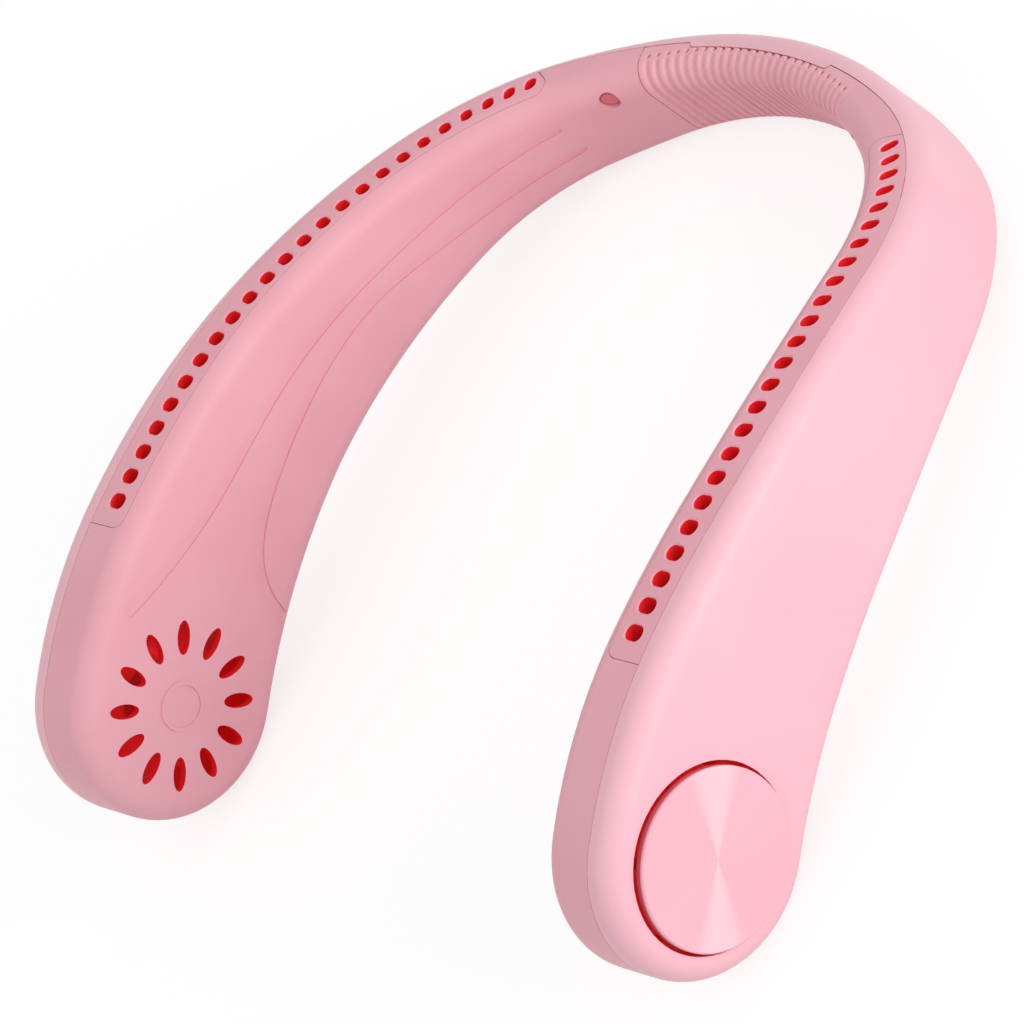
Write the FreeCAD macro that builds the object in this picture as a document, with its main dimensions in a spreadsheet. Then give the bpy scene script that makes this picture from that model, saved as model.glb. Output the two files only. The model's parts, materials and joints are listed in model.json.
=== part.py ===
import FreeCAD, Part
import math
import os
import Sketcher
from FreeCAD import Placement, Rotation, Vector

# Electric neck fan: a U-shaped body with a round blower lobe at each front end.
# X runs across the body, Y runs from the lobes to the nape, Z is up.
# The body rests on the lobes and on the nape, and the origin is under its middle.
# Lengths are millimetres and angles are degrees.

SIZES = {
    # overall body
    "body_width": 210.0,
    "body_length": 209.4,
    "lobe_radius": 26.7,
    "lobe_thickness": 22.7,
    "nape_thickness": 12.4,
    "nape_height": 22.2,
    "edge_radius": 5.6,
    "shell_wall": 2.0,
    "seam_gap": 0.15,
    "fit_gap": 0.15,
    "overrun": 12.0,
    # side outline
    "crown_rise": 6.9,
    "crown_setback": 33.6,
    "crown_radius": 252.0,
    "crown_fall_angle": 21.3,
    "nape_blend_radius": 60.0,
    "arch_height": 13.8,
    "arch_setback": 70.8,
    "arch_back_radius": 300.0,
    "nape_foot_radius": 40.0,
    # outer face in plan
    "outer_sweep_radius": 303.0,
    "outer_sweep_angle": 16.3,
    "outer_corner_radius": 69.0,
    "outer_corner_angle": 60.6,
    # inner face in plan
    "inner_sweep_radius": 219.0,
    "inner_sweep_angle": 16.2,
    "inner_corner_radius": 57.6,
    "inner_corner_angle": 57.5,
    # row of outlet holes in plan
    "row_inset": 13.0,
    "row_nape_inset": 5.3,
    "row_sweep_radius": 283.0,
    "row_sweep_angle": 17.4,
    "row_corner_radius": 53.6,
    "row_corner_angle": 61.6,
    # parting seam between the outer shell and the rest in plan
    "seam_inset": 7.2,
    "seam_nape_inset": 4.0,
    "seam_sweep_radius": 214.0,
    "seam_sweep_angle": 17.3,
    "seam_corner_radius": 66.8,
    "seam_corner_angle": 67.8,
    # outlet strip
    "strip_setback": 33.5,
    "strip_edge": 4.4,
    "strip_thickness": 4.0,
    "strip_front_margin": 6.2,
    "strip_back_margin": 4.0,
    "strip_corner_radius": 3.0,
    "strip_floor": 21.0,
    "hole_count": 24,
    "hole_pitch_front": 6.29,
    "hole_pitch_back": 5.14,
    "hole_front_diameter": 3.7,
    "hole_back_diameter": 2.8,
    "hole_stretch": 1.5,
    "hole_chamfer": 0.3,
    # nape pad and the carrier behind it
    "pad_turn_angle": 68.5,
    "pad_thickness": 2.6,
    "carrier_wall": 1.4,
    "cover_half_width": 24.0,
    "cover_step": 1.4,
    "cover_corner_radius": 1.5,
    "rib_count": 26,
    "rib_half_spread": 31.5,
    "rib_groove_width": 1.3,
    "rib_groove_depth": 0.6,
    "rib_top_inset": 5.4,
    "rib_dot_inset": 6.6,
    "rib_dot_diameter": 1.1,
    "rib_dot_depth": 1.2,
    # shallow decorative channels on the inner faces
    "channel_depth": 0.45,
    "channel_front_width": 2.9,
    "channel_back_width": 1.7,
    # inlet disc and the spider that carries it
    "disc_radius": 19.6,
    "disc_thickness": 2.2,
    "disc_proud": 2.1,
    "disc_chamfer": 0.35,
    "inlet_gap": 0.9,
    "collar_wall": 1.4,
    "collar_depth": 3.6,
    "spider_thickness": 1.4,
    "spider_hub_radius": 7.0,
    "spoke_width": 2.2,
    "spoke_count": 6,
    "post_radius": 1.6,
    "post_circle": 4.2,
    "post_count": 3,
    # inlet grille on the inner face
    "slot_count": 12,
    "slot_circle": 15.5,
    "slot_length": 7.8,
    "slot_width": 3.4,
    "ring_outer_radius": 5.7,
    "ring_inner_radius": 4.9,
    "ring_height": 0.4,
    # blower
    "impeller_radius": 18.2,
    "impeller_height": 8.2,
    "impeller_clearance": 0.8,
    "impeller_plate": 1.0,
    "blade_count": 22,
    "blade_thickness": 0.8,
    "blade_inner_radius": 12.2,
    "blade_lean_angle": 20.0,
    "blade_bend_radius": 9.0,
    "rotor_radius": 9.6,
    "rotor_wall": 0.9,
    "rotor_lid": 1.2,
    "magnet_wall": 0.9,
    "magnet_height": 4.0,
    "magnet_depth": 11.8,
    "stator_radius": 7.2,
    "stator_height": 3.6,
    "stator_depth": 11.6,
    "stator_bore_gap": 0.1,
    "pole_count": 6,
    "pole_slot_width": 1.4,
    "pole_slot_depth": 2.6,
    "bush_radius": 3.0,
    "bush_rise": 11.9,
    "shaft_radius": 1.0,
    "shaft_running_gap": 0.05,
    "boss_radius": 4.6,
    "boss_height": 1.6,
    # scroll and duct floor
    "scroll_radius": 20.6,
    "duct_wall": 1.2,
    "scroll_open_from_angle": 35.0,
    "scroll_open_to_angle": 100.0,
    "duct_fall_angle": 4.9,
    "duct_reach": 140.0,
    # battery
    "battery_length": 50.0,
    "battery_height": 12.4,
    "battery_thickness": 9.4,
    "battery_corner_radius": 2.0,
    "battery_seat_gap": 0.3,
    "battery_setback": 76.0,
    # controls on the underside, one each side of the nape
    "control_turn_angle": 63.5,
    "control_inset": 5.4,
    "button_length": 11.0,
    "button_width": 5.0,
    "button_recess": 0.2,
    "button_travel": 0.5,
    "button_gap": 0.25,
    "button_flange": 0.7,
    "button_flange_height": 0.8,
    "board_length": 15.0,
    "board_width": 6.6,
    "board_thickness": 1.2,
    "board_height": 8.8,
    "board_post_width": 2.0,
    "switch_side": 4.4,
    "switch_height": 2.0,
    "port_length": 9.0,
    "port_width": 3.2,
    "port_depth": 6.6,
    "port_wall": 0.35,
    "port_recess": 0.6,
    "tongue_thickness": 0.7,
    "tongue_margin": 1.0,
    # wires and screws
    "wire_radius": 1.1,
    "wire_inset": 7.6,
    "wire_turn_angle": 64.0,
    "screw_turn_angle": 62.2,
    "screw_height": 22.4,
    "screw_head_radius": 2.0,
    "screw_head_height": 0.7,
    "screw_radius": 1.0,
    "screw_length": 6.4,
    "screw_well_radius": 2.5,
    "screw_boss_radius": 2.4,
    "screw_sink": 1.4,
}

RIGHT, LEFT = 1, -1
SIDE_NAMES = {RIGHT: "right", LEFT: "left"}
X_AXIS, Y_AXIS, Z_AXIS = Vector(1, 0, 0), Vector(0, 1, 0), Vector(0, 0, 1)
QUARTER_TURN, FULL_TURN = 90.0, 360.0

doc = FreeCAD.newDocument("neck_fan")
sheet = doc.addObject("Spreadsheet::Sheet", "Sizes")
for row, (alias, value) in enumerate(SIZES.items(), start=1):
    sheet.set(f"A{row}", alias)
    sheet.set(f"B{row}", str(value))
    sheet.setAlias(f"B{row}", alias)
doc.recompute()


def size(alias):
    """A driving dimension, read from the sheet."""
    return float(sheet.get(alias))


def count(alias):
    return int(round(size(alias)))


BODY_TOP = 2 * size("lobe_radius") + size("crown_rise")
OUTER_X = size("body_width") / 2
INNER_X = OUTER_X - size("lobe_thickness")
BACK_Y = size("body_length") / 2
LOBE_Y = -BACK_Y + size("lobe_radius")
LOBE_Z = size("lobe_radius")
FRONT_Y = -BACK_Y - size("overrun")


# Plan curves: a straight run, a gentle sweep, a corner and the nape arc, all tangent.

def plan_chain(name, half_width, back_reach):
    sweep = math.radians(size(f"{name}_sweep_angle"))
    corner = math.radians(size(f"{name}_corner_angle"))
    sweep_radius, corner_radius = size(f"{name}_sweep_radius"), size(f"{name}_corner_radius")
    reach = half_width - sweep_radius * (1 - math.cos(sweep))
    reach -= corner_radius * (math.cos(sweep) - math.cos(corner))
    nape_radius = reach / math.cos(corner)
    start_y = back_reach - nape_radius * (1 - math.sin(corner)) - sweep_radius * math.sin(sweep)
    start_y -= corner_radius * (math.sin(corner) - math.sin(sweep))
    sweep_centre = (half_width - sweep_radius, start_y)
    corner_centre = (sweep_centre[0] + (sweep_radius - corner_radius) * math.cos(sweep),
                     sweep_centre[1] + (sweep_radius - corner_radius) * math.sin(sweep))
    nape_centre = (0, back_reach - nape_radius)
    arcs = [(sweep_centre, sweep_radius, 0, sweep),
            (corner_centre, corner_radius, sweep, corner),
            (nape_centre, nape_radius, corner, math.pi / 2)]
    return {"half_width": half_width, "start_y": start_y, "arcs": arcs}


OUTER = plan_chain("outer", OUTER_X, BACK_Y)
INNER = plan_chain("inner", INNER_X, BACK_Y - size("nape_thickness"))
ROW = plan_chain("row", OUTER_X - size("row_inset"), BACK_Y - size("row_nape_inset"))
SEAM = plan_chain("seam", OUTER_X - size("seam_inset"), BACK_Y - size("seam_nape_inset"))


def on_arc(centre, radius, turn):
    return (centre[0] + radius * math.cos(turn), centre[1] + radius * math.sin(turn))


def half_run(chain, offset, front_y, end_turn=math.pi / 2):
    """The right half of a chain, from the front towards the nape, as (start, middle, end) pieces."""
    x = chain["half_width"] + offset
    pieces = [((x, front_y), None, (x, chain["start_y"]))]
    for centre, radius, start, end in chain["arcs"]:
        if start >= end_turn:
            break
        stop = min(end, end_turn)
        turns = (start, (start + stop) / 2, stop)
        pieces.append(tuple(on_arc(centre, radius + offset, turn) for turn in turns))
    return pieces


def backwards(pieces):
    return [(end, middle, start) for start, middle, end in reversed(pieces)]


def mirrored(pieces):
    def flip(point):
        return None if point is None else (-point[0], point[1])
    return [tuple(flip(point) for point in piece) for piece in pieces]


def closed_face(pieces, place):
    """A face bounded by line and arc pieces, with gaps between pieces closed by lines."""
    edges = []
    for index, (start, middle, end) in enumerate(pieces):
        if middle is None:
            edges.append(Part.LineSegment(place(start), place(end)).toShape())
        else:
            edges.append(Part.Arc(place(start), place(middle), place(end)).toShape())
        following = place(pieces[(index + 1) % len(pieces)][0])
        if not place(end).isEqual(following, Part.Precision.confusion()):
            edges.append(Part.LineSegment(place(end), following).toShape())
    return Part.Face(Part.Wire(edges))


def plan_prism(pieces, bottom, top):
    face = closed_face(pieces, lambda point: Vector(point[0], point[1], bottom))
    return face.extrude(Vector(0, 0, top - bottom))


def u_prism(inner_chain, inner_offset, outer_chain, outer_offset):
    """A tall U between two offset chains, open towards the front."""
    outer = half_run(outer_chain, outer_offset, FRONT_Y)
    inner = half_run(inner_chain, inner_offset, FRONT_Y)
    pieces = outer + backwards(mirrored(outer)) + mirrored(inner) + backwards(inner)
    return plan_prism(pieces, -size("overrun"), BODY_TOP + size("overrun"))


def side_prism(inset):
    """The side outline, drawn in by inset and extruded across the body."""
    lobe, fall = size("lobe_radius"), math.radians(size("crown_fall_angle"))
    crown, blend = size("crown_radius"), size("nape_blend_radius")
    arch, arch_back, foot = size("arch_height"), size("arch_back_radius"), size("nape_foot_radius")
    crown_y = LOBE_Y + size("crown_setback")
    rise = BODY_TOP - LOBE_Z
    shoulder = (size("crown_setback") ** 2 + rise ** 2 - lobe ** 2) / (2 * (rise - lobe))
    shoulder_turn = math.atan2(LOBE_Z - BODY_TOP + shoulder, LOBE_Y - crown_y)
    crown_turn = math.pi / 2 - fall
    crown_end = on_arc((crown_y, BODY_TOP - crown), crown, crown_turn)
    blend_z = size("nape_height") + blend * (1 - math.cos(fall))
    blend_y = crown_end[0] + (crown_end[1] - blend_z) / math.tan(fall) + blend * math.sin(fall)
    arch_y = LOBE_Y + size("arch_setback")
    drop = LOBE_Z - arch
    arch_front = (size("arch_setback") ** 2 + drop ** 2 - lobe ** 2) / (2 * arch)
    lobe_turn = math.atan2(arch - arch_front - LOBE_Z, arch_y - LOBE_Y)
    foot_y = arch_y + math.sqrt((arch_back + foot) ** 2 - (foot - arch + arch_back) ** 2)
    foot_turn = math.atan2(arch - arch_back - foot, arch_y - foot_y)

    def arc(centre, radius, start, end):
        return tuple(on_arc(centre, radius, turn) for turn in (start, (start + end) / 2, end))

    half_turn = math.pi
    end_y = BACK_Y + size("overrun")
    pieces = [
        arc((LOBE_Y, LOBE_Z), lobe - inset, lobe_turn, shoulder_turn - 2 * half_turn),
        arc((crown_y, BODY_TOP - shoulder), shoulder - inset, shoulder_turn, math.pi / 2),
        arc((crown_y, BODY_TOP - crown), crown - inset, math.pi / 2, crown_turn),
        arc((blend_y, size("nape_height") + blend), blend + inset, -math.pi / 2 - fall, -math.pi / 2),
        ((end_y, size("nape_height") - inset), None, (end_y, inset)),
        arc((foot_y, foot), foot - inset, -math.pi / 2, foot_turn),
        arc((arch_y, arch - arch_back), arch_back + inset, foot_turn + half_turn, math.pi / 2),
        arc((arch_y, arch - arch_front), arch_front + inset, math.pi / 2, lobe_turn + half_turn),
    ]
    reach = OUTER_X + size("overrun")
    face = closed_face(pieces, lambda point: Vector(-reach, point[0], point[1]))
    return face.extrude(Vector(2 * reach, 0, 0))


def sharp_edges(solid):
    """The edges where two faces meet at a clear angle."""
    found = []
    for edge in solid.Edges:
        faces = solid.ancestorsOfType(edge, Part.Face)
        if len(faces) == 2:
            point = edge.valueAt((edge.FirstParameter + edge.LastParameter) / 2)
            normals = [face.normalAt(*face.Surface.parameter(point)) for face in faces]
            if normals[0].getAngle(normals[1]) > math.pi / 4:
                found.append(edge)
    return found


def body_form(inset):
    """The whole rounded body, drawn in by inset on every face."""
    plain = u_prism(INNER, inset, OUTER, -inset).common(side_prism(inset)).Solids[0]
    return plain.makeFillet(size("edge_radius") - inset, sharp_edges(plain)).Solids[0]


CASE = body_form(0)
CASING = CASE.cut(body_form(size("shell_wall")))
SPAN = size("body_width") + size("body_length")
nodes = []


def keep_shape(label, shape):
    """A sub-part whose form follows the body, made from one solid or a group of solids."""
    node = doc.addObject("Part::Feature", label)
    node.Label = label
    node.Shape = shape
    node.Placement = Placement()
    nodes.append(node)


def largest(shape):
    return max(shape.Solids, key=lambda solid: solid.Volume)


def mirror_left(shape):
    return shape.mirror(Vector(), X_AXIS)


def block(low, high):
    return Part.makeBox(high[0] - low[0], high[1] - low[1], high[2] - low[2], Vector(*low))


def chain_at(chain, turn_angle, inset):
    """A place on a chain where its face points at turn_angle, drawn outwards by inset."""
    turn = math.radians(turn_angle)
    for centre, radius, start, end in chain["arcs"]:
        if start <= turn <= end:
            return Vector(*on_arc(centre, radius + inset, turn), 0)
    return Vector(chain["half_width"] + inset, chain["start_y"], 0)


def underside(point):
    """The height of the lower face over a place in plan."""
    line = Part.makeLine(Vector(point.x, point.y, -size("overrun")), Vector(point.x, point.y, LOBE_Z))
    return CASE.common(line).BoundBox.ZMin


def topside(point):
    """The height of the upper face over a place in plan."""
    line = Part.makeLine(Vector(point.x, point.y, 0), Vector(point.x, point.y, SPAN))
    return CASE.common(line).BoundBox.ZMax


# Outlet row: holes get closer and smaller towards the nape.

HOLE_Y = LOBE_Y + size("strip_setback")


def row_place(distance):
    """Place and turn on the outlet row, at a distance along it from the first hole."""
    straight = ROW["start_y"] - HOLE_Y
    if distance <= straight:
        return Vector(ROW["half_width"], HOLE_Y + distance, 0), 0.0
    rest = distance - straight
    for centre, radius, start, end in ROW["arcs"]:
        if rest <= radius * (end - start):
            turn = start + rest / radius
            return Vector(*on_arc(centre, radius, turn), 0), turn
        rest -= radius * (end - start)
    return Vector(*on_arc(centre, radius, end), 0), end


def hole_distance(index):
    slowing = (size("hole_pitch_front") - size("hole_pitch_back")) / (2 * (count("hole_count") - 1))
    return index * size("hole_pitch_front") - slowing * index ** 2


def strip_footprint(growth):
    """The strip's outline in plan on the right arm, as a tall prism."""
    end_distance = hole_distance(count("hole_count") - 1) + size("strip_back_margin") + growth
    end_turn = row_place(end_distance)[1]
    front_y = HOLE_Y - size("strip_front_margin") - growth
    outer = half_run(SEAM, growth - size("seam_gap"), front_y, end_turn)
    inner = half_run(INNER, size("strip_edge") - growth, front_y, end_turn)
    prism = plan_prism(outer + backwards(inner), size("strip_floor"), BODY_TOP + size("overrun"))
    corners = [Vector(*inner[0][0], 0), Vector(*inner[-1][2], 0)]

    def at_corner(edge):
        middle = edge.CenterOfMass
        near = min(corner.distanceToPoint(Vector(middle.x, middle.y, 0)) for corner in corners)
        return near < size("seam_gap") and edge.BoundBox.ZLength > size("edge_radius")

    return prism.makeFillet(size("strip_corner_radius") + growth, list(filter(at_corner, prism.Edges)))


def hole_tool(radius):
    """An oblong hole, longer across the strip than along it, with a bevelled mouth at height zero."""
    reach, rim = size("hole_stretch") / 2, size("hole_chamfer")
    foot = -size("strip_thickness") - size("shell_wall")
    flank = [(radius, foot), (radius, -rim), (radius + 2 * rim, rim)]
    ends = []
    for side in SIDE_NAMES:
        outline = [(0, foot)] + flank + [(0, rim)]
        corners = [Vector(side * reach, side * along, up) for along, up in outline]
        face = Part.Face(Part.makePolygon(corners + corners[:1]))
        ends.append(face.revolve(corners[0], Z_AXIS, -FULL_TURN / 2))
    corners = [Vector(-reach, along, up) for along, up in flank]
    corners += [Vector(-reach, -along, up) for along, up in reversed(flank)]
    middle = Part.Face(Part.makePolygon(corners + corners[:1])).extrude(Vector(2 * reach, 0, 0))
    return largest(middle.multiFuse(ends))


def along_top(place, step):
    """A level step at a place, tilted to lie along the upper face."""
    return 2 * step + Z_AXIS * (topside(place + step) - topside(place - step))


def outlet_holes():
    """The holes of the right strip, each square to the upper face."""
    tools = []
    last = count("hole_count") - 1
    for index in range(last + 1):
        place, turn = row_place(hole_distance(index))
        share = index / last
        diameter = (1 - share) * size("hole_front_diameter") + share * size("hole_back_diameter")
        step = Vector(math.cos(turn), math.sin(turn), 0) * size("hole_stretch")
        place.z = topside(place)
        across = along_top(place, step)
        along = along_top(place, Z_AXIS.cross(step))
        tool = hole_tool(diameter / 2)
        tool.Placement = Placement(place, Rotation(across, along, across.cross(along), "XYZ"))
        tools.append(tool)
    return Part.makeCompound(tools)


strip_plate = CASE.cut(body_form(size("strip_thickness"))).common(strip_footprint(0))
strip_right = largest(largest(strip_plate).cut(outlet_holes()))
keep_shape("outlet_strip_right", strip_right)
keep_shape("outlet_strip_left", mirror_left(strip_right))


# Nape: the outer shell laps further over the top between two rounded jogs.

def nape_lap(growth):
    half_width = size("cover_half_width") + growth
    lap = u_prism(SEAM, -size("cover_step") - growth, OUTER, size("overrun"))
    lap = lap.common(block((-half_width, 0, 0), (half_width, SPAN, SPAN)))
    low_y = min(vertex.Y for vertex in lap.Vertexes)
    corners = [edge for edge in lap.Edges if edge.BoundBox.ZLength > size("nape_height")
               and edge.CenterOfMass.y < low_y + size("seam_gap")]
    return lap.makeFillet(size("cover_corner_radius"), corners)


OUTSIDE = u_prism(SEAM, 0, OUTER, size("overrun")).fuse(nape_lap(0))
INSIDE = u_prism(INNER, -size("overrun"), SEAM, -size("seam_gap"))
INSIDE = INSIDE.cut(nape_lap(size("seam_gap")))
NAPE_CENTRE = INNER["arcs"][-1][0]
NAPE_RADIUS = INNER["arcs"][-1][1]


def beside_pad(gap):
    """Everything on the right of the pad's right end, which lies square to the nape arc."""
    region = block((-SPAN, -SPAN, -SPAN), (SPAN, -gap, SPAN))
    region.Placement = Placement(Vector(NAPE_CENTRE[0], NAPE_CENTRE[1], 0),
                                 Rotation(Z_AXIS, size("pad_turn_angle")))
    return region


PAD_ZONE = block((-SPAN, NAPE_CENTRE[1], -SPAN), (SPAN, SPAN, SPAN))
PAD_ZONE = PAD_ZONE.cut(beside_pad(0)).cut(mirror_left(beside_pad(0)))


def lobe_cylinder(side, radius, deep, shallow):
    """A cylinder on the lobe axis, between two depths below the outer face."""
    base = Vector(side * (OUTER_X - deep), LOBE_Y, LOBE_Z)
    return Part.makeCylinder(radius, deep - shallow, base, X_AXIS * side)


def inlet_spider(side):
    """Collar round the inlet, hub plate and spokes that carry the disc."""
    opening = size("disc_radius") + size("inlet_gap")
    deep, shallow = size("collar_depth"), size("collar_depth") - size("spider_thickness")
    collar = lobe_cylinder(side, opening + size("collar_wall"), deep, size("shell_wall") / 2)
    collar = collar.cut(lobe_cylinder(side, opening, deep, 0))
    pieces = [lobe_cylinder(side, size("spider_hub_radius"), deep, shallow)]
    axis_point = Vector(side * OUTER_X, LOBE_Y, LOBE_Z)
    reach = opening + size("collar_wall") / 2
    for index in range(count("spoke_count")):
        spoke = block((OUTER_X - deep, LOBE_Y, LOBE_Z - size("spoke_width") / 2),
                      (OUTER_X - shallow, LOBE_Y + reach, LOBE_Z + size("spoke_width") / 2))
        if side == LEFT:
            spoke = mirror_left(spoke)
        spoke.rotate(axis_point, X_AXIS, index * FULL_TURN / count("spoke_count"))
        pieces.append(spoke)
    return collar.multiFuse(pieces)


def radial_cylinder(side, turn_angle, height, radius, shallow, deep):
    """A cylinder square to the inner face near the nape, between two depths below that face."""
    foot = chain_at(INNER, turn_angle, shallow)
    turn = math.radians(turn_angle)
    direction = Vector(math.cos(turn), math.sin(turn), 0)
    shape = Part.makeCylinder(radius, deep - shallow, Vector(foot.x, foot.y, height), direction)
    return shape if side == RIGHT else mirror_left(shape)


def screw_cylinder(side, radius, shallow, deep):
    return radial_cylinder(side, size("screw_turn_angle"), size("screw_height"), radius, shallow, deep)


outer = CASING.common(OUTSIDE)
boss_start = size("shell_wall") + size("fit_gap")
for side in SIDE_NAMES:
    opening = size("disc_radius") + size("inlet_gap")
    outer = outer.cut(lobe_cylinder(side, opening, size("lobe_thickness") / 2, -size("overrun")))
    outer = outer.fuse(inlet_spider(side))
    boss = screw_cylinder(side, size("screw_boss_radius"), boss_start, size("nape_thickness"))
    outer = outer.fuse(boss.common(CASE))
    bore = size("screw_radius") + size("shaft_running_gap")
    outer = outer.cut(screw_cylinder(side, bore, 0, size("screw_sink") + size("screw_length") + bore))
keep_shape("outer_shell", largest(outer))


# Inner shells: grille, ring, channels, screw well, motor boss and the control openings.

CHANNEL_SHARES = {
    # place along the body from the lobe axis, and height, as shares of body length and body height
    "upper": ((0.058, 0.842), (0.101, 0.796), (0.150, 0.746), (0.222, 0.710), (0.319, 0.688),
              (0.391, 0.660), (0.469, 0.605), (0.546, 0.531), (0.633, 0.439), (0.720, 0.365)),
    "lower": ((0.140, 0.200), (0.168, 0.390), (0.213, 0.473), (0.322, 0.536), (0.400, 0.540),
              (0.474, 0.509), (0.545, 0.418), (0.614, 0.322), (0.720, 0.219)),
}


def channel_tool(name):
    """A tapering channel seen from the side, extruded across the right arm."""
    spine = Part.BSplineCurve()
    spine.interpolate([Vector(0, LOBE_Y + along * size("body_length"), up * BODY_TOP)
                       for along, up in CHANNEL_SHARES[name]])
    first, last = spine.FirstParameter, spine.LastParameter
    steps = len(CHANNEL_SHARES[name])
    sides = ([], [])
    for index in range(steps):
        share = index / (steps - 1)
        parameter = first + share * (last - first)
        across = X_AXIS.cross(spine.tangent(parameter)[0])
        half = ((1 - share) * size("channel_front_width") + share * size("channel_back_width")) / 2
        sides[0].append(spine.value(parameter) + across * half)
        sides[1].append(spine.value(parameter) - across * half)
    curves = []
    for points in sides:
        curve = Part.BSplineCurve()
        curve.interpolate(points)
        curves.append(curve.toShape())
    tips = [spine.value(first) - spine.tangent(first)[0] * size("channel_front_width") / 2,
            spine.value(last) + spine.tangent(last)[0] * size("channel_back_width") / 2]
    caps = [Part.Arc(sides[0][end], tips[end], sides[1][end]).toShape() for end in (0, -1)]
    wire = Part.Wire(Part.__sortEdges__(curves + caps))
    return Part.Face(wire).extrude(Vector(SPAN, 0, 0))


def grille_slots(side):
    slots = []
    for index in range(count("slot_count")):
        ellipse = Part.Ellipse(Vector(), size("slot_length") / 2, size("slot_width") / 2).toShape()
        slot = Part.Face(Part.Wire(ellipse)).extrude(Vector(0, 0, 2 * size("lobe_thickness")))
        slot.translate(Vector(size("slot_circle"), 0, 0))
        slot.rotate(Vector(), Z_AXIS, index * FULL_TURN / count("slot_count"))
        slot.rotate(Vector(), Y_AXIS, -QUARTER_TURN)
        slot.translate(Vector(OUTER_X - size("lobe_thickness") / 2, LOBE_Y, LOBE_Z))
        slots.append(slot)
    tool = Part.makeCompound(slots)
    return tool if side == RIGHT else mirror_left(tool)


def control_place(side):
    """Placement of the controls: on the lower face, with local X along the body."""
    foot = chain_at(INNER, size("control_turn_angle"), size("control_inset"))
    foot.z = underside(foot)
    angle = size("control_turn_angle") + QUARTER_TURN
    if side == LEFT:
        foot.x, angle = -foot.x, -angle
    return Placement(foot, Rotation(Z_AXIS, angle))


def control_prism(side, length, width, bottom, top, corner):
    """A rounded upright block at the controls, with heights over the lower face."""
    prism = block((-length / 2, -width / 2, bottom), (length / 2, width / 2, top))
    upright = [edge for edge in prism.Edges if edge.BoundBox.ZLength > max(edge.BoundBox.XLength,
                                                                           edge.BoundBox.YLength)]
    if corner:
        prism = prism.makeFillet(corner, upright)
    prism.Placement = control_place(side)
    return prism


PILL_SHARE = 0.49
BOARD_POST_SHARE = 0.42


def board_posts(side):
    """Two posts that carry the small board over the control."""
    posts = []
    for end in SIDE_NAMES:
        half = size("board_post_width") / 2
        along = end * BOARD_POST_SHARE * size("board_length")
        post = block((along - half, -half, 0), (along + half, half, size("board_height")))
        post.Placement = control_place(side)
        posts.append(post.common(CASE))
    return posts


lobe_depth, wall = size("lobe_thickness"), size("shell_wall")
right_half = beside_pad(size("seam_gap"))
half_shell = largest(CASING.common(INSIDE).common(right_half).cut(strip_footprint(size("seam_gap"))))
skin = CASE.cut(body_form(size("channel_depth"))).common(right_half)
inner_side = block((0, -SPAN, -SPAN), (INNER_X + wall / 2, SPAN, SPAN))
for name in CHANNEL_SHARES:
    half_shell = half_shell.cut(channel_tool(name).common(inner_side).common(skin).common(INSIDE))
ring_top = lobe_depth + size("ring_height")
ring = lobe_cylinder(RIGHT, size("ring_outer_radius"), ring_top, lobe_depth - wall / 2)
ring = ring.cut(lobe_cylinder(RIGHT, size("ring_inner_radius"), lobe_depth + wall, 0))
half_shell = half_shell.cut(grille_slots(RIGHT)).fuse(ring)
half_shell = half_shell.fuse(lobe_cylinder(RIGHT, size("boss_radius"), lobe_depth - wall / 2,
                                           lobe_depth - wall - size("boss_height")))
half_shell = half_shell.cut(screw_cylinder(RIGHT, size("screw_well_radius"), -wall, size("screw_sink")))
half_shell = half_shell.cut(screw_cylinder(RIGHT, size("screw_radius") + size("fit_gap"), 0, 2 * wall))
CONTROL_OPENINGS = {LEFT: ("button", PILL_SHARE), RIGHT: ("port", PILL_SHARE)}
for side, (control, corner_share) in CONTROL_OPENINGS.items():
    shell = half_shell if side == RIGHT else mirror_left(half_shell)
    length = size(f"{control}_length") + 2 * size("button_gap")
    width = size(f"{control}_width") + 2 * size("button_gap")
    shell = shell.multiFuse(board_posts(side))
    shell = shell.cut(control_prism(side, length, width, -size("overrun"), size("board_height"),
                                    corner_share * width))
    if control == "button":
        flange_length, flange_width = length + 4 * size("button_flange"), width / 2 + size("button_gap")
        flange_room = wall + size("button_flange") - size("fit_gap")
        shell = shell.cut(control_prism(side, flange_length, flange_width, flange_room,
                                        size("board_height"), 0))
    keep_shape(f"inner_shell_{SIDE_NAMES[side]}", largest(shell))


# Soft pad with upright grooves that end in dots, and the stiff carrier behind it.

def rib_angle(index):
    """Angle from straight back of one groove."""
    half_spread = math.degrees(math.asin(size("rib_half_spread") / NAPE_RADIUS))
    return half_spread * (2 * index / (count("rib_count") - 1) - 1)


def rib_groove():
    """The groove straight behind the neck, up the inner face and over the top."""
    half = size("rib_groove_width") / 2
    inner_y = NAPE_CENTRE[1] + NAPE_RADIUS
    return block((-half, inner_y - size("overrun"), size("edge_radius") / 2),
                 (half, inner_y + size("rib_top_inset"), SPAN))


def rib_dot():
    """The dot on the top, past the end of the groove straight behind the neck."""
    foot = Vector(0, NAPE_CENTRE[1] + NAPE_RADIUS + size("rib_dot_inset"), size("nape_height") / 2)
    return Part.makeCylinder(size("rib_dot_diameter") / 2, SPAN, foot)


def round_the_nape(shape):
    """One copy of the shape at each groove."""
    copies = []
    for index in range(count("rib_count")):
        copies.append(shape.copy())
        copies[-1].rotate(Vector(NAPE_CENTRE[0], NAPE_CENTRE[1], 0), Z_AXIS, rib_angle(index))
    return Part.makeCompound(copies)


def layer(outer_inset, inner_inset):
    form = body_form(outer_inset) if outer_inset else CASE
    return form.cut(body_form(inner_inset)).common(PAD_ZONE).common(INSIDE)


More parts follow.
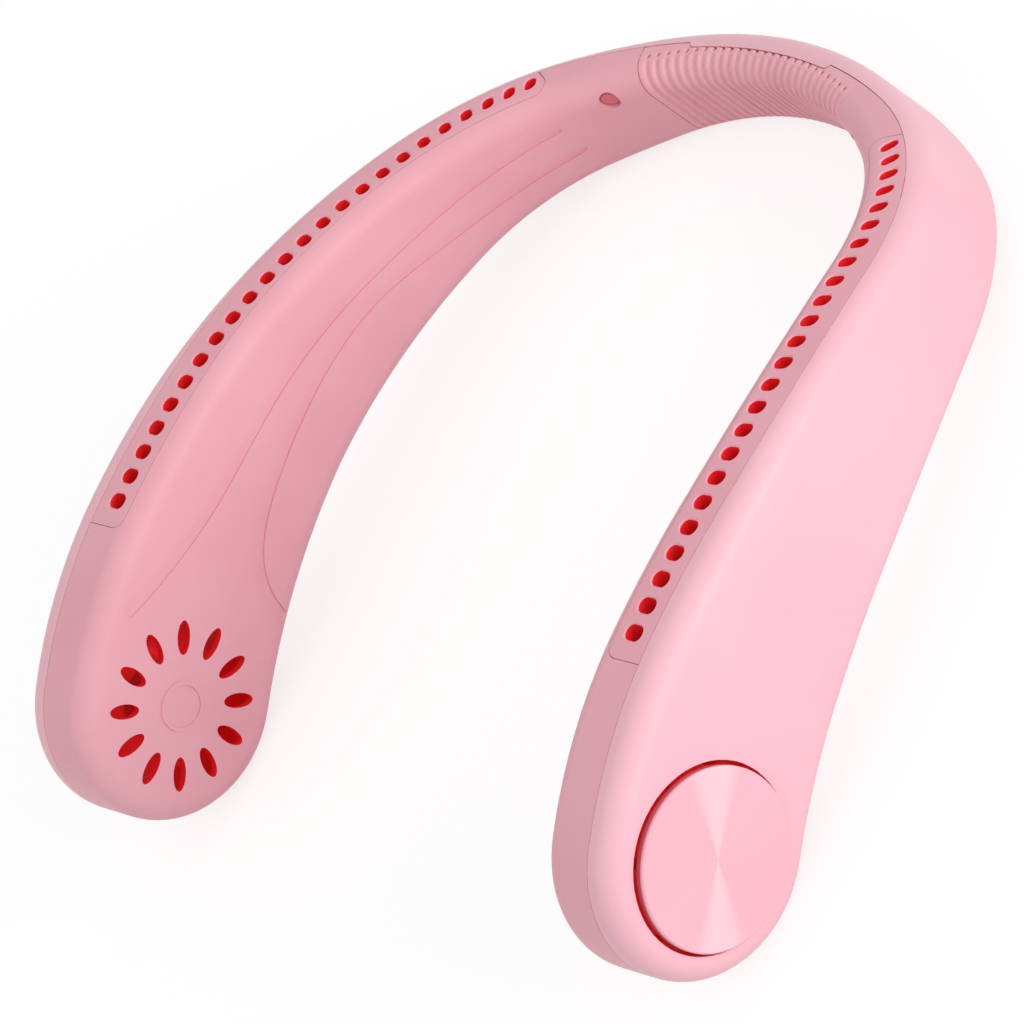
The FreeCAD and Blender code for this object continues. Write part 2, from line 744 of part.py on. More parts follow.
pad_back = size("pad_thickness") + size("fit_gap")
pad = layer(0, size("pad_thickness"))
pad = pad.cut(round_the_nape(rib_groove()).common(layer(0, size("rib_groove_depth"))))
pad = pad.cut(round_the_nape(rib_dot()).common(layer(0, size("rib_dot_depth"))))
keep_shape("neck_pad", largest(pad))
keep_shape("pad_carrier", largest(layer(pad_back, pad_back + size("carrier_wall"))))


# Scroll wall round each impeller and the sloping floor of the duct under the strip.

def duct_right():
    centre = (LOBE_Y, LOBE_Z)
    inner, outer = size("scroll_radius"), size("scroll_radius") + size("duct_wall")
    start = math.radians(size("scroll_open_to_angle"))
    end = math.radians(size("scroll_open_from_angle") + FULL_TURN)
    turns = (start, (start + end) / 2, end)
    scroll = [tuple(on_arc(centre, outer, turn) for turn in turns),
              tuple(on_arc(centre, inner, turn) for turn in reversed(turns))]
    fall = math.radians(size("duct_fall_angle"))
    tongue = on_arc(centre, (inner + outer) / 2, end)
    tail = (tongue[0] + size("duct_reach") * math.cos(fall), tongue[1] - size("duct_reach") * math.sin(fall))
    drop = size("duct_wall")
    floor = [(tongue, None, tail), ((tail[0], tail[1] - drop), None, (tongue[0], tongue[1] - drop))]
    solids = []
    for pieces in (scroll, floor):
        face = closed_face(pieces, lambda point: Vector(0, point[0], point[1]))
        solids.append(face.extrude(Vector(SPAN, 0, 0)))
    cavity = body_form(size("shell_wall") + size("fit_gap"))
    spider_room = block((0, -SPAN, -SPAN), (OUTER_X - size("collar_depth") - size("fit_gap"), SPAN, SPAN))
    strip_room = strip_footprint(size("seam_gap")).cut(body_form(size("strip_thickness") + size("fit_gap")))
    return largest(solids[0].fuse(solids[1]).common(cavity).common(spider_room).cut(strip_room))


duct = duct_right()
keep_shape("air_duct_right", duct)
keep_shape("air_duct_left", mirror_left(duct))


def screw(side):
    sink = size("screw_sink")
    head = screw_cylinder(side, size("screw_head_radius"), sink - size("screw_head_height"), sink)
    shank = screw_cylinder(side, size("screw_radius"), sink - size("screw_head_height") / 2,
                           sink + size("screw_length"))
    return head.fuse(shank).removeSplitter().Solids[0]


keep_shape("shell_screws", Part.makeCompound([screw(side) for side in SIDE_NAMES]))


# Pieces with their own simple frames: bodies and primitives bound to the sheet.

def lobe_place(side):
    """Local Z points out of the lobe, with zero on the outer face."""
    return Placement(Vector(side * OUTER_X, LOBE_Y, LOBE_Z), Rotation(Y_AXIS, side * QUARTER_TURN))


def bind(target, expressions):
    for name, expression in expressions.items():
        target.setExpression(name, expression)


def new_body(label, place):
    body = doc.addObject("PartDesign::Body", label)
    body.Label = label
    body.Placement = place
    nodes.append(body)
    return body


def new_sketch(body, level):
    """A sketch on the body's own XY plane, raised to a level given as an expression."""
    sketch = body.newObject("Sketcher::SketchObject", f"{body.Name}_sketch")
    plane = [feature for feature in body.Origin.OriginFeatures if feature.Role == "XY_Plane"][0]
    sketch.AttachmentSupport = (plane, [""])
    sketch.MapMode = "FlatFace"
    sketch.setExpression("AttachmentOffset.Base.z", level)
    return sketch


def add_circle(sketch, radius, centre_x=None):
    index = sketch.addGeometry(Part.Circle(Vector(size("edge_radius"), 0, 0), Z_AXIS, size("edge_radius")))
    if centre_x is None:
        sketch.addConstraint(Sketcher.Constraint("Coincident", index, 3, -1, 1))
    else:
        sketch.addConstraint(Sketcher.Constraint("PointOnObject", index, 3, -1))
        place = sketch.addConstraint(Sketcher.Constraint("DistanceX", -1, 1, index, 3, size("edge_radius")))
        sketch.setExpression(f"Constraints[{place}]", centre_x)
    ring = sketch.addConstraint(Sketcher.Constraint("Radius", index, size("edge_radius")))
    sketch.setExpression(f"Constraints[{ring}]", radius)


def add_rectangle(sketch, length, width, near_x=None):
    """A rectangle on the origin, or from near_x outwards along X."""
    half = size("edge_radius")
    start = half if near_x else -half
    corners = [Vector(start, -half, 0), Vector(start + 2 * half, -half, 0),
               Vector(start + 2 * half, half, 0), Vector(start, half, 0)]
    lines = [sketch.addGeometry(Part.LineSegment(corners[n], corners[(n + 1) % len(corners)]))
             for n in range(len(corners))]
    for n, line in enumerate(lines):
        sketch.addConstraint(Sketcher.Constraint("Coincident", line, 2, lines[(n + 1) % len(lines)], 1))
        if not (near_x and n == 1):
            sketch.addConstraint(Sketcher.Constraint("Vertical" if n % 2 else "Horizontal", line))
    if near_x:
        place = sketch.addConstraint(Sketcher.Constraint("DistanceX", -1, 1, lines[0], 1, start))
        sketch.setExpression(f"Constraints[{place}]", near_x)
        sketch.addConstraint(Sketcher.Constraint("Symmetric", lines[1], 1, lines[1], 2, -1))
    else:
        sketch.addConstraint(Sketcher.Constraint("Symmetric", lines[0], 1, lines[1], 2, -1, 1))
    along = sketch.addConstraint(Sketcher.Constraint("DistanceX", lines[0], 1, lines[0], 2, 2 * half))
    across = sketch.addConstraint(Sketcher.Constraint("DistanceY", lines[1], 1, lines[1], 2, 2 * half))
    sketch.setExpression(f"Constraints[{along}]", length)
    sketch.setExpression(f"Constraints[{across}]", width)


def grow(body, kind, sketch, length, downwards=False):
    """A pad or a pocket from a sketch; pads go up and pockets go up unless downwards is set."""
    feature = body.newObject(f"PartDesign::{kind}", f"{body.Name}_{kind.lower()}")
    feature.Profile = sketch
    feature.setExpression("Length", length)
    feature.Reversed = downwards if kind == "Pad" else not downwards
    sketch.Visibility = False
    doc.recompute()
    return feature


def repeat_round(body, feature, alias):
    """Repeat a feature round the body's Z axis."""
    pattern = body.newObject("PartDesign::PolarPattern", f"{body.Name}_pattern")
    axis = [entry for entry in body.Origin.OriginFeatures if entry.Role == "Z_Axis"][0]
    pattern.Originals = [feature]
    pattern.Axis = (axis, [""])
    pattern.Angle = FULL_TURN
    body.Tip = pattern
    pattern.setExpression("Occurrences", f"Sizes.{alias}")
    doc.recompute()
    return pattern


def soften(body, feature, kind, amount, chosen):
    """Round or bevel the edges of a feature that pass a test."""
    names = [f"Edge{number}" for number, edge in enumerate(feature.Shape.Edges, start=1) if chosen(edge)]
    dress = body.newObject(f"PartDesign::{kind}", f"{body.Name}_{kind.lower()}")
    dress.Base = (feature, names)
    dress.setExpression("Radius" if kind == "Fillet" else "Size", amount)
    doc.recompute()
    return dress


def is_upright(edge):
    box = edge.BoundBox
    return box.ZLength > max(box.XLength, box.YLength)


def make_disc(side):
    body = new_body(f"inlet_disc_{SIDE_NAMES[side]}", lobe_place(side))
    face = new_sketch(body, "Sizes.disc_proud - Sizes.disc_thickness")
    add_circle(face, "Sizes.disc_radius")
    plate = grow(body, "Pad", face, "Sizes.disc_thickness")
    plate = soften(body, plate, "Chamfer", "Sizes.disc_chamfer",
                   lambda edge: edge.CenterOfMass.z > plate.Shape.CenterOfMass.z and not is_upright(edge))
    foot = new_sketch(body, "Sizes.spider_thickness - Sizes.collar_depth")
    add_circle(foot, "Sizes.post_radius", "Sizes.post_circle")
    post = grow(body, "Pad", foot,
                "Sizes.collar_depth - Sizes.spider_thickness + Sizes.disc_proud - Sizes.disc_thickness / 2")
    repeat_round(body, post, "post_count")


ROTOR_TOP = "-Sizes.collar_depth - Sizes.impeller_clearance"
ROTOR_BOTTOM = f"{ROTOR_TOP} - Sizes.impeller_height"


def make_impeller(side):
    """Rotor cup, middle plate and leaning blades that work on both faces of the plate."""
    body = new_body(f"impeller_{SIDE_NAMES[side]}", lobe_place(side))
    plate = new_sketch(body, f"{ROTOR_TOP} - Sizes.impeller_height / 2 - Sizes.impeller_plate / 2")
    add_circle(plate, "Sizes.impeller_radius")
    grow(body, "Pad", plate, "Sizes.impeller_plate")
    cup = new_sketch(body, ROTOR_BOTTOM)
    add_circle(cup, "Sizes.rotor_radius")
    grow(body, "Pad", cup, "Sizes.impeller_height")
    hollow = new_sketch(body, ROTOR_BOTTOM)
    add_circle(hollow, "Sizes.rotor_radius - Sizes.rotor_wall")
    grow(body, "Pocket", hollow, "Sizes.impeller_height - Sizes.rotor_lid")
    bore = new_sketch(body, ROTOR_BOTTOM)
    add_circle(bore, "Sizes.shaft_radius + Sizes.shaft_running_gap")
    grow(body, "Pocket", bore, "Sizes.impeller_height")
    blade = new_sketch(body, ROTOR_BOTTOM)
    outline_blade(blade)
    pad = grow(body, "Pad", blade, "Sizes.impeller_height")
    repeat_round(body, pad, "blade_count")


def outline_blade(sketch):
    """One blade in plan: two concentric arcs that lean back, joined at the ends."""
    lean, half = math.radians(size("blade_lean_angle")), size("blade_thickness") / 2
    tip = size("impeller_radius") - size("blade_thickness")
    start = Vector(size("blade_inner_radius"), 0, 0)
    end = Vector(tip * math.cos(lean), tip * math.sin(lean), 0)
    chord, bend = end - start, size("blade_bend_radius")
    across = Z_AXIS.cross(chord) / chord.Length
    centre = (start + end) / 2 + across * math.sqrt(bend ** 2 - chord.Length ** 2 / 4)
    first, last = (math.atan2(point.y - centre.y, point.x - centre.x) for point in (start, end))
    turns = (first, (first + last) / 2, last)
    faces = [[Vector(*on_arc(centre, radius, turn), 0) for turn in turns]
             for radius in (bend + half, bend - half)]
    back, front = faces
    sketch.addGeometry(Part.Arc(*back))
    sketch.addGeometry(Part.LineSegment(back[-1], front[-1]))
    sketch.addGeometry(Part.Arc(*front))
    sketch.addGeometry(Part.LineSegment(front[0], back[0]))


def make_stator(side):
    body = new_body(f"stator_{SIDE_NAMES[side]}", lobe_place(side))
    core = new_sketch(body, "-Sizes.stator_depth")
    add_circle(core, "Sizes.stator_radius")
    add_circle(core, "Sizes.bush_radius + Sizes.stator_bore_gap")
    grow(body, "Pad", core, "Sizes.stator_height")
    gap = new_sketch(body, "-Sizes.stator_depth")
    add_rectangle(gap, "Sizes.pole_slot_depth * 2", "Sizes.pole_slot_width",
                  "Sizes.stator_radius - Sizes.pole_slot_depth")
    cut = grow(body, "Pocket", gap, "Sizes.stator_height")
    repeat_round(body, cut, "pole_count")


def make_tube(label, place, outer, inner, bottom, height):
    """A round piece on a local Z axis, solid where inner is None."""
    body = new_body(label, place)
    ring = new_sketch(body, bottom)
    add_circle(ring, outer)
    if inner:
        add_circle(ring, inner)
    grow(body, "Pad", ring, height)


BUSH_FOOT = "Sizes.shell_wall + Sizes.boss_height - Sizes.lobe_thickness"
for side, name in SIDE_NAMES.items():
    place = lobe_place(side)
    make_disc(side)
    make_impeller(side)
    make_stator(side)
    make_tube(f"magnet_ring_{name}", place, "Sizes.rotor_radius - Sizes.rotor_wall - Sizes.shaft_running_gap",
              "Sizes.rotor_radius - Sizes.rotor_wall - Sizes.shaft_running_gap - Sizes.magnet_wall",
              "-Sizes.magnet_depth", "Sizes.magnet_height")
    make_tube(f"bearing_bush_{name}", place, "Sizes.bush_radius",
              "Sizes.shaft_radius + Sizes.shaft_running_gap", BUSH_FOOT, "Sizes.bush_rise")
    make_tube(f"fan_shaft_{name}", place, "Sizes.shaft_radius", None, f"{BUSH_FOOT} + Sizes.fit_gap",
              f"{ROTOR_TOP} - ({BUSH_FOOT}) - Sizes.fit_gap")


def battery_place(side):
    """On the inner crest of the lower arch, along the chord of the arm."""
    half = size("battery_length") / 2
    middles = []
    for end in (-half, half):
        y = LOBE_Y + size("battery_setback") + end
        z = size("arch_height") + size("battery_height")
        across = CASE.common(Part.makeLine(Vector(0, y, z), Vector(SPAN, y, z))).BoundBox
        middles.append(Vector((across.XMin + across.XMax) / 2, y, 0))
    centre = (middles[0] + middles[1]) / 2
    along = middles[1] - middles[0]
    centre.z = size("arch_height") + size("shell_wall") + size("battery_seat_gap")
    angle = math.degrees(math.atan2(along.y, along.x))
    if side == LEFT:
        centre.x, angle = -centre.x, -angle
    return Placement(centre, Rotation(Z_AXIS, angle))


for side, name in SIDE_NAMES.items():
    body = new_body(f"battery_{name}", battery_place(side))
    outline = new_sketch(body, "0")
    add_rectangle(outline, "Sizes.battery_length", "Sizes.battery_thickness")
    cell = grow(body, "Pad", outline, "Sizes.battery_height")
    soften(body, cell, "Fillet", "Sizes.battery_corner_radius", lambda edge: True)

BOARD_NAMES = {LEFT: "control_board", RIGHT: "charge_board"}
for side, label in BOARD_NAMES.items():
    body = new_body(label, control_place(side))
    outline = new_sketch(body, "Sizes.board_height")
    add_rectangle(outline, "Sizes.board_length", "Sizes.board_width")
    grow(body, "Pad", outline, "Sizes.board_thickness")

# The button slides up towards the switch under the left board.
FLANGE_FOOT = "Sizes.shell_wall + Sizes.button_flange"
FLANGE_TOP = f"{FLANGE_FOOT} + Sizes.button_flange_height"
button = new_body("power_button", control_place(LEFT))
outline = new_sketch(button, "Sizes.button_recess")
add_rectangle(outline, "Sizes.button_length", "Sizes.button_width")
stem = grow(button, "Pad", outline, f"{FLANGE_TOP} - Sizes.button_recess")
soften(button, stem, "Fillet", f"Sizes.button_width * {PILL_SHARE}", is_upright)
outline = new_sketch(button, FLANGE_FOOT)
add_rectangle(outline, "Sizes.button_length + 4 * Sizes.button_flange", "Sizes.button_width / 2")
grow(button, "Pad", outline, "Sizes.button_flange_height")

switch = new_body("tact_switch", control_place(LEFT))
outline = new_sketch(switch, "Sizes.board_height - Sizes.switch_height")
add_rectangle(outline, "Sizes.switch_side", "Sizes.switch_side")
grow(switch, "Pad", outline, "Sizes.switch_height")
plunger = new_sketch(switch, f"{FLANGE_TOP} + Sizes.button_travel + Sizes.fit_gap")
add_circle(plunger, "Sizes.switch_side / 4")
grow(switch, "Pad", plunger,
     f"Sizes.board_height - ({FLANGE_TOP} + Sizes.button_travel + Sizes.fit_gap) - Sizes.switch_height / 2")

# The charging port hangs under the right board, with its mouth just above the lower face.
port = new_body("usb_port", control_place(RIGHT))
outline = new_sketch(port, "Sizes.port_recess")
add_rectangle(outline, "Sizes.port_length", "Sizes.port_width")
can = grow(port, "Pad", outline, "Sizes.board_height - Sizes.port_recess")
can = soften(port, can, "Fillet", f"Sizes.port_width * {PILL_SHARE}", is_upright)
mouth = new_sketch(port, "Sizes.port_recess")
add_rectangle(mouth, "Sizes.port_length - Sizes.port_width", "Sizes.port_width - 2 * Sizes.port_wall")
grow(port, "Pocket", mouth, "Sizes.port_depth")
tongue = new_sketch(port, "Sizes.port_recess + Sizes.tongue_margin")
tongue_length = "Sizes.port_length - Sizes.port_width - 2 * Sizes.tongue_margin"
add_rectangle(tongue, tongue_length, "Sizes.tongue_thickness")
grow(port, "Pad", tongue, "Sizes.port_depth")

# The wire arcs through the nape and lies on both boards.
wire = doc.addObject("Part::Torus", "wire_harness")
wire.Label = "wire_harness"
bind(wire, {"Radius2": "Sizes.wire_radius", "Angle3": "2 * (90 - Sizes.wire_turn_angle)"})
wire.Radius1 = NAPE_RADIUS + size("wire_inset")
board_top = control_place(RIGHT).Base.z + size("board_height") + size("board_thickness")
wire.Placement = Placement(Vector(NAPE_CENTRE[0], NAPE_CENTRE[1], board_top + size("wire_radius")),
                           Rotation(Z_AXIS, size("wire_turn_angle")))
nodes.append(wire)


# Checks and export.

doc.recompute()
for item in doc.Objects:
    if "Invalid" in item.State or "Error" in item.State:
        raise RuntimeError(f"{item.Label} did not compute")
for node in nodes:
    if node.Shape.isNull() or not node.Shape.isValid() or not node.Shape.Solids:
        raise RuntimeError(f"{node.Label} has no valid solid")
os.makedirs("parts", exist_ok=True)
for node in nodes:
    node.Shape.exportStep(f"parts/{node.Label}.step")
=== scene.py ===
import json
import math

import bmesh
import bpy
from mathutils import Matrix, Vector
from mathutils.bvhtree import BVHTree

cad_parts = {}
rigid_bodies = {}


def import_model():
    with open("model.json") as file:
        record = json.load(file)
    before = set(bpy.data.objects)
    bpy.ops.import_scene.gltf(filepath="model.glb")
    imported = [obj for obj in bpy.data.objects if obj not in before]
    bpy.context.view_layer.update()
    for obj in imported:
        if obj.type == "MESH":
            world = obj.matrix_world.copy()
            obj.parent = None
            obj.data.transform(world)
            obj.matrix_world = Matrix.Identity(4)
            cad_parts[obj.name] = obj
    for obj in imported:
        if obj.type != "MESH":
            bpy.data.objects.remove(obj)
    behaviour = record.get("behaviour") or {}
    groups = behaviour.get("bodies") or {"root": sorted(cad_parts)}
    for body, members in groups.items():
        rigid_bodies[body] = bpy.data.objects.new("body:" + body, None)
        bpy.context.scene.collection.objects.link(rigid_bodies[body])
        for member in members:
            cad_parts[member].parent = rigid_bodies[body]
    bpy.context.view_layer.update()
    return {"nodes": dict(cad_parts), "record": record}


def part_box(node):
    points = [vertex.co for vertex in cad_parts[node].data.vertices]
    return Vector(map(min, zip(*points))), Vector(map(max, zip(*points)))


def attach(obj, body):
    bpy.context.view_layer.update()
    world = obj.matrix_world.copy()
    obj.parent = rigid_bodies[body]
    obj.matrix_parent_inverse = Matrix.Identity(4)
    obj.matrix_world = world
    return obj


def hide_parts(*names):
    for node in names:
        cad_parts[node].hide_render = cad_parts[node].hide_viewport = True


for leftover in list(bpy.data.objects):
    bpy.data.objects.remove(leftover, do_unlink=True)
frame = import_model()

MM = 0.001
SIDES = ("left", "right")
# Corners of the CAD triangles that lie this close together are one corner.
MERGE_REACH = 0.002 * MM
# The painted highlight wedges on the discs, turned from straight up towards the nape.
PAINTED_GLINT_TURN = math.radians(57)
# Turning marks on the discs are about 0.1 mm apart; they are drawn at 0.35 mm so that they show.
RING_PITCH = 0.35 * MM
RING_DEPTH = 0.02 * MM
STREAK_DEPTH = 0.02 * MM


def linear(hex_colour):
    """An sRGB hex colour as linear red, green, blue and alpha."""
    shares = [int(hex_colour[place:place + 2], 16) / 255 for place in (1, 3, 5)]
    return [s / 12.92 if s <= 0.04045 else ((s + 0.055) / 1.055) ** 2.4 for s in shares] + [1.0]


def add_node(tree, kind, settings=None, inputs=None):
    """Adds a node, sets its properties, and sets or links its inputs."""
    node = tree.nodes.new(kind)
    for name, value in (settings or {}).items():
        setattr(node, name, value)
    for name, value in (inputs or {}).items():
        if isinstance(value, bpy.types.NodeSocket):
            tree.links.new(value, node.inputs[name])
        else:
            node.inputs[name].default_value = value
    return node


def per_metre(size_mm):
    """The scale of a noise or cell pattern whose features are that many millimetres across."""
    return 1 / (size_mm * MM)


def new_material(name):
    material = bpy.data.materials.new(name)
    material.use_nodes = True
    tree = material.node_tree
    tree.nodes.clear()
    return material, tree, add_node(tree, "ShaderNodeOutputMaterial")


def moulded_plastic(name, base, shade, tone_mm, grain_mm, grain_depth_mm, roughness, constants):
    """Moulded plastic: a tone that drifts slowly with the wall, and the tool's fine texture."""
    material, tree, output = new_material(name)
    place = add_node(tree, "ShaderNodeTexCoord").outputs["Object"]
    drift = add_node(tree, "ShaderNodeTexNoise", inputs={
        "Vector": place, "Scale": per_metre(tone_mm), "Detail": 3.0, "Roughness": 0.5})
    grain = add_node(tree, "ShaderNodeTexNoise", inputs={
        "Vector": place, "Scale": per_metre(grain_mm), "Detail": 2.0, "Roughness": 0.6})
    tone = add_node(tree, "ShaderNodeValToRGB", inputs={"Fac": drift.outputs["Fac"]})
    tone.color_ramp.elements[0].position = 0.3
    tone.color_ramp.elements[0].color = linear(shade)
    tone.color_ramp.elements[1].position = 0.62
    tone.color_ramp.elements[1].color = linear(base)
    polish = add_node(tree, "ShaderNodeMapRange", inputs={
        "Value": grain.outputs["Fac"], "From Min": 0.3, "From Max": 0.7,
        "To Min": roughness[0], "To Max": roughness[1]})
    relief = add_node(tree, "ShaderNodeBump", inputs={
        "Height": grain.outputs["Fac"], "Distance": grain_depth_mm * MM, "Strength": 0.5})
    inputs = {"Base Color": tone.outputs["Color"], "Roughness": polish.outputs["Result"],
              "Normal": relief.outputs["Normal"]}
    inputs.update(constants)
    shader = add_node(tree, "ShaderNodeBsdfPrincipled", inputs=inputs)
    tree.links.new(shader.outputs["BSDF"], output.inputs["Surface"])
    return material


def metal(name, base, shade, streak_mm, axis_scales, roughness):
    """A metal with streaks, which run longer along an axis whose scale is smaller."""
    material, tree, output = new_material(name)
    place = add_node(tree, "ShaderNodeTexCoord").outputs["Object"]
    drawn_out = add_node(tree, "ShaderNodeMapping", inputs={"Vector": place, "Scale": axis_scales})
    streaks = add_node(tree, "ShaderNodeTexNoise", inputs={
        "Vector": drawn_out.outputs["Vector"], "Scale": per_metre(streak_mm), "Detail": 4.0})
    tone = add_node(tree, "ShaderNodeValToRGB", inputs={"Fac": streaks.outputs["Fac"]})
    tone.color_ramp.elements[0].position = 0.35
    tone.color_ramp.elements[0].color = linear(shade)
    tone.color_ramp.elements[1].position = 0.65
    tone.color_ramp.elements[1].color = linear(base)
    polish = add_node(tree, "ShaderNodeMapRange", inputs={
        "Value": streaks.outputs["Fac"], "To Min": roughness[0], "To Max": roughness[1]})
    relief = add_node(tree, "ShaderNodeBump", inputs={
        "Height": streaks.outputs["Fac"], "Distance": STREAK_DEPTH, "Strength": 0.4})
    shader = add_node(tree, "ShaderNodeBsdfPrincipled", inputs={
        "Base Color": tone.outputs["Color"], "Roughness": polish.outputs["Result"],
        "Normal": relief.outputs["Normal"], "Metallic": 1.0})
    tree.links.new(shader.outputs["BSDF"], output.inputs["Surface"])
    return material


def spun_disc_painted_glint(name, base, painted_glint, middle):
    """ABS moulded against a turned tool: fine rings about the disc's own centre, which throw the
    light into two opposite wedges. Broad lamps even the wedges out, so they are painted into the colour
    as a highlight."""
    material, tree, output = new_material(name)
    place = add_node(tree, "ShaderNodeTexCoord").outputs["Object"]
    centred = add_node(tree, "ShaderNodeMapping", inputs={
        "Vector": place, "Location": [0.0, -middle[1], -middle[2]]})
    rings = add_node(tree, "ShaderNodeTexWave", {
        "wave_type": "RINGS", "rings_direction": "X", "wave_profile": "SIN"}, {
        "Vector": centred.outputs["Vector"], "Scale": math.pi / (10 * RING_PITCH),
        "Distortion": 0.4, "Detail": 2.0, "Detail Scale": 1.5})
    along = add_node(tree, "ShaderNodeSeparateXYZ", inputs={"Vector": centred.outputs["Vector"]})
    turn = add_node(tree, "ShaderNodeMath", {"operation": "ARCTAN2"}, {
        0: along.outputs["Y"], 1: along.outputs["Z"]})
    jitter = add_node(tree, "ShaderNodeMath", {"operation": "MULTIPLY_ADD"}, {
        0: rings.outputs["Fac"], 1: 0.08, 2: turn.outputs["Value"]})
    twice = add_node(tree, "ShaderNodeMath", {"operation": "MULTIPLY_ADD"}, {
        0: jitter.outputs["Value"], 1: 2.0, 2: -2 * PAINTED_GLINT_TURN})
    wedges = add_node(tree, "ShaderNodeMath", {"operation": "COSINE"}, {0: twice.outputs["Value"]})
    # Painted highlight: the colour turns lighter in two opposite wedges about the disc's centre.
    tone = add_node(tree, "ShaderNodeValToRGB", inputs={"Fac": wedges.outputs["Value"]})
    tone.color_ramp.elements[0].position = 0.74
    tone.color_ramp.elements[0].color = linear(base)
    tone.color_ramp.elements[1].position = 0.94
    tone.color_ramp.elements[1].color = linear(painted_glint)
    polish = add_node(tree, "ShaderNodeMapRange", inputs={
        "Value": rings.outputs["Fac"], "To Min": 0.34, "To Max": 0.46})
    relief = add_node(tree, "ShaderNodeBump", inputs={
        "Height": rings.outputs["Fac"], "Distance": RING_DEPTH, "Strength": 0.5})
    round_axis = add_node(tree, "ShaderNodeVectorMath", {"operation": "CROSS_PRODUCT"}, {
        0: centred.outputs["Vector"], 1: [1.0, 0.0, 0.0]})
    shader = add_node(tree, "ShaderNodeBsdfPrincipled", inputs={
        "Base Color": tone.outputs["Color"], "Roughness": polish.outputs["Result"],
        "Normal": relief.outputs["Normal"], "Tangent": round_axis.outputs["Vector"],
        "Anisotropic": 0.8, "IOR": 1.53, "Specular IOR Level": 0.6})
    tree.links.new(shader.outputs["BSDF"], output.inputs["Surface"])
    return material


# Acrylonitrile-butadiene-styrene, moulded and sprayed with a soft-touch coat: an even satin face
# with a broad, weak shine. The coat's grain is about 0.1 mm; it is drawn at 0.4 mm so that it shows.
COAT = {"IOR": 1.5, "Specular IOR Level": 0.4, "Sheen Weight": 0.08, "Sheen Roughness": 0.5}
outer_abs = moulded_plastic("soft_touch_coated_abs_pink", "#FAC0CC", "#F8BBC8", 30.0, 0.4, 0.012,
                            (0.42, 0.5), COAT)
# The same plastic without the coat, from a spark-eroded tool: a little deeper in tone and more matt.
inner_abs = moulded_plastic("spark_textured_abs_pink", "#F5B3C0", "#F2ADBA", 24.0, 0.45, 0.02,
                            (0.5, 0.58), {"IOR": 1.53, "Specular IOR Level": 0.4})
strip_abs = moulded_plastic("spark_textured_abs_strip", "#F5B3C0", "#F2ADBA", 20.0, 0.45, 0.018,
                            (0.48, 0.56), {"IOR": 1.53, "Specular IOR Level": 0.4})
# Silicone rubber, compression moulded: light goes a little way in, so that edges glow softly.
silicone = moulded_plastic("compression_moulded_silicone_pink", "#F9BBC5", "#F6B4BF", 12.0, 0.5, 0.02,
                           (0.52, 0.62), {"IOR": 1.41, "Specular IOR Level": 0.4,
                                          "Subsurface Weight": 0.15, "Subsurface Scale": 0.8 * MM,
                                          "Subsurface Radius": [1.0, 0.35, 0.3]})
# Pigmented ABS of the inner mouldings: smooth, saturated, half glossy. Light soaks through the thin
# walls and makes the hollow glow; a weak light of its own stands for that.
red_abs = moulded_plastic("gloss_moulded_abs_red", "#FB2C33", "#F3262E", 16.0, 0.6, 0.01,
                          (0.4, 0.48), {"IOR": 1.53, "Specular IOR Level": 0.3,
                                        "Emission Color": linear("#FB2C33"), "Emission Strength": 0.03})
# The impellers, moulded thin in a like red, with a stronger painted glow that stands for light passing
# through them.
blade_abs_painted_glow = moulded_plastic("thin_moulded_abs_red_painted_glow", "#FB3A40", "#F33038", 10.0, 0.6, 0.01,
                            (0.4, 0.48), {"IOR": 1.53, "Specular IOR Level": 0.3,
                                          "Emission Color": linear("#FB3A40"), "Emission Strength": 0.12})
# The side of each inlet disc, painted deep rose as the shade in the gap and the red light thrown on it
# from the hollow behind: a deep rose line round the disc.
disc_edge_painted_red_shade = moulded_plastic("smooth_moulded_abs_painted_deep_rose_shade", "#DA5F6A", "#D35863", 8.0, 0.4, 0.01,
                                (0.4, 0.48), {"IOR": 1.53, "Specular IOR Level": 0.4})
# The button, from a smoother tool: rose, with a little more shine than the shells.
button_abs = moulded_plastic("satin_moulded_abs_rose", "#E796A4", "#E28D9C", 6.0, 0.4, 0.01,
                             (0.36, 0.44), {"IOR": 1.53, "Specular IOR Level": 0.5})
# Glass-filled nylon of the switch: matt black with a faint fleck.
black_nylon = moulded_plastic("glass_filled_nylon_black", "#26262A", "#1D1D20", 3.0, 0.4, 0.02,
                              (0.5, 0.62), {"IOR": 1.53})
# Glass-epoxy laminate under solder resist: green and glossy, faintly mottled by the glass below.
board_laminate = moulded_plastic("solder_resist_glass_epoxy", "#1F6B3C", "#195A32", 1.6, 0.5, 0.012,
                                 (0.28, 0.36), {"IOR": 1.55, "Coat Weight": 0.3})
# Lithium polymer pouch: aluminium-laminate film, soft silver with faint creases.
pouch_film = metal("aluminium_laminate_film", "#C9CBCE", "#B4B7BB", 3.0, [1.0, 1.0, 1.0], (0.3, 0.42))
# Polyvinyl chloride over stranded copper: smooth and a little glossy.
wire_pvc = moulded_plastic("extruded_pvc_red", "#B92C2C", "#A82626", 8.0, 0.5, 0.01,
                           (0.34, 0.42), {"IOR": 1.53})
# Carbon steel, zinc plated and turned: bright, with fine marks round the axis.
plated_steel = metal("zinc_plated_turned_steel", "#C4C6C8", "#A9ACB0", 0.4, [1.0, 0.2, 0.2], (0.25, 0.36))
# Screw steel under a baked rose lacquer, deepened below the body's tone as painted shade of its well: a
# soft dot in its well.
lacquered_steel_painted_shade = moulded_plastic("baked_lacquer_on_steel_rose_painted_shade", "#E07683", "#D96D7A", 1.2, 0.4, 0.01,
                                  (0.42, 0.52), {"IOR": 1.5, "Specular IOR Level": 0.4})
